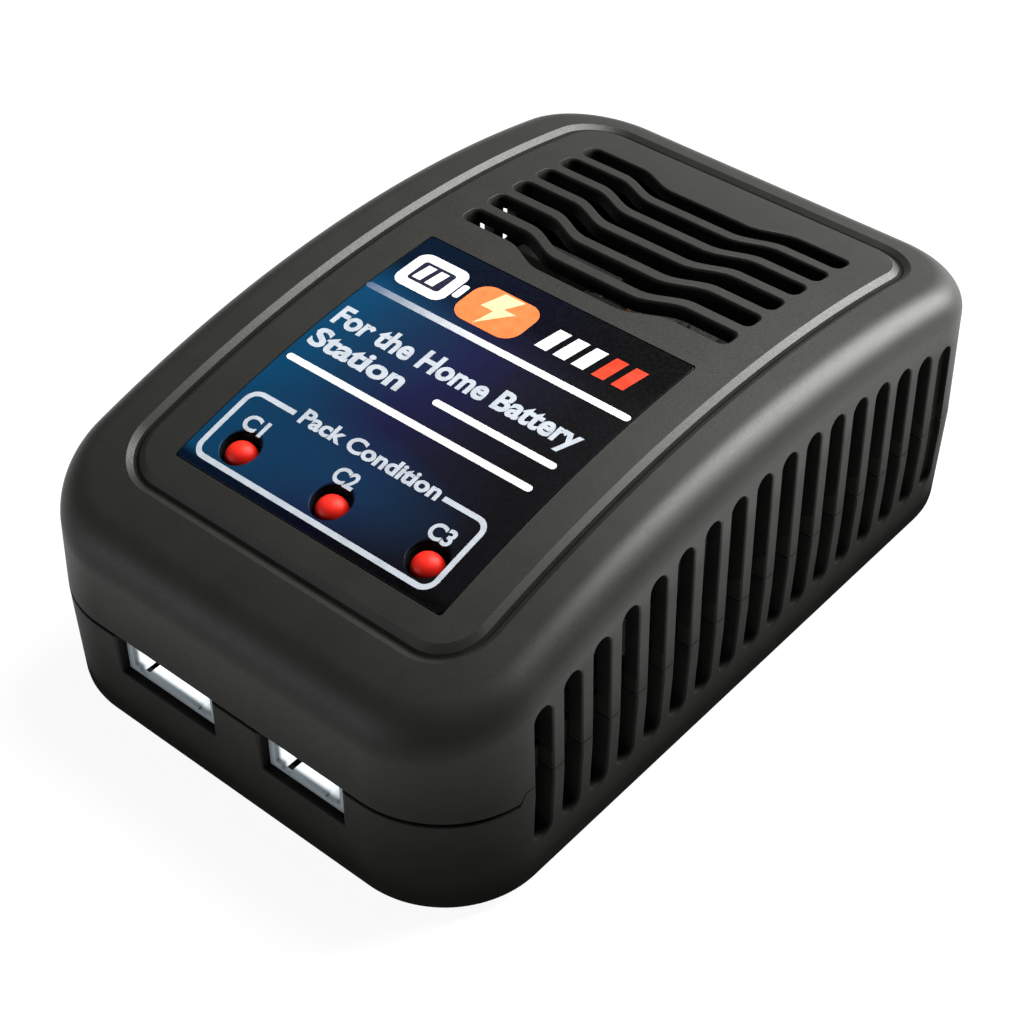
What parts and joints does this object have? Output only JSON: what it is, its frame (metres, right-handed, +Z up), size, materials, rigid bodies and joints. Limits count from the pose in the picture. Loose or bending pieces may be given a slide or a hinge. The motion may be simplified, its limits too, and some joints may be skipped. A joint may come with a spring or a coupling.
{
  "type": "balance battery charger",
  "caption": "Arched plastic battery charger with vented sides and top, lamp label, white balance sockets at the front and a figure-8 mains inlet at the back.",
  "frame": {"origin": "on the surface the feet stand on, under the middle of the case's length and width", "axes": "X across the width, the balance sockets face -Y and the mains inlet faces +Y, +Z up"},
  "size_m": [0.058, 0.0886, 0.0336],
  "materials": {
    "case_plastic": "fine-textured satin charcoal ABS",
    "label_print": "blue-to-black printed film with white marks",
    "red_lens": "red tinted lamp lens",
    "socket_plastic": "white nylon",
    "tinned_pin": "bright tin",
    "plated_mains_pin": "nickel plated",
    "inlet_plastic": "moulded black",
    "zinc_steel": "zinc plated",
    "foot_rubber": "matt",
    "circuit_board": "green solder mask",
    "ferrite": "dark sintered",
    "bobbin_plastic": "moulded black",
    "yellow_tape": "polyester tape",
    "copper_winding": "enamelled copper wire",
    "bulk_can_sleeve": "black shrink sleeve",
    "output_can_sleeve": "blue shrink sleeve",
    "filter_box_plastic": "moulded grey box",
    "fuse_box_plastic": "moulded black box",
    "chip_epoxy": "black epoxy",
    "resistor_body": "black film on ceramic",
    "aluminium_sink": "mill finish",
    "blue_disc": "blue dipped coating",
    "drum_winding": "black sleeved winding"
  },
  "bodies": {
    "root": {"top_cover": "case_plastic", "bottom_case": "case_plastic", "label_overlay": "label_print", "cell_lamp_1": "red_lens", "cell_lamp_2": "red_lens", "cell_lamp_3": "red_lens", "three_cell_socket": "socket_plastic", "two_cell_socket": "socket_plastic", "three_cell_pin_1": "tinned_pin", "three_cell_pin_2": "tinned_pin", "three_cell_pin_3": "tinned_pin", "three_cell_pin_4": "tinned_pin", "two_cell_pin_1": "tinned_pin", "two_cell_pin_2": "tinned_pin", "two_cell_pin_3": "tinned_pin", "mains_pin_1": "plated_mains_pin", "mains_pin_2": "plated_mains_pin", "mains_inlet": "inlet_plastic", "case_screw_1": "zinc_steel", "case_screw_2": "zinc_steel", "case_screw_3": "zinc_steel", "case_screw_4": "zinc_steel", "heat_sink_screw": "zinc_steel", "rubber_foot_1": "foot_rubber", "rubber_foot_2": "foot_rubber", "rubber_foot_3": "foot_rubber", "rubber_foot_4": "foot_rubber", "main_board": "circuit_board", "transformer_core": "ferrite", "choke_core": "ferrite", "transformer_bobbin": "bobbin_plastic", "transformer_winding": "yellow_tape", "choke_coil_1": "copper_winding", "choke_coil_2": "copper_winding", "bulk_capacitor": "bulk_can_sleeve", "output_capacitor_1": "output_can_sleeve", "output_capacitor_2": "output_can_sleeve", "mains_filter_capacitor": "filter_box_plastic", "mains_fuse": "fuse_box_plastic", "bridge_rectifier": "chip_epoxy", "switching_transistor": "chip_epoxy", "control_chip": "chip_epoxy", "optocoupler": "chip_epoxy", "output_diode": "chip_epoxy", "balance_transistor_1": "chip_epoxy", "balance_transistor_2": "chip_epoxy", "balance_transistor_3": "chip_epoxy", "balance_resistor_1": "resistor_body", "balance_resistor_2": "resistor_body", "balance_resistor_3": "resistor_body", "heat_sink": "aluminium_sink", "safety_capacitor": "blue_disc", "output_inductor": "drum_winding"}
  },
  "joints": []
}
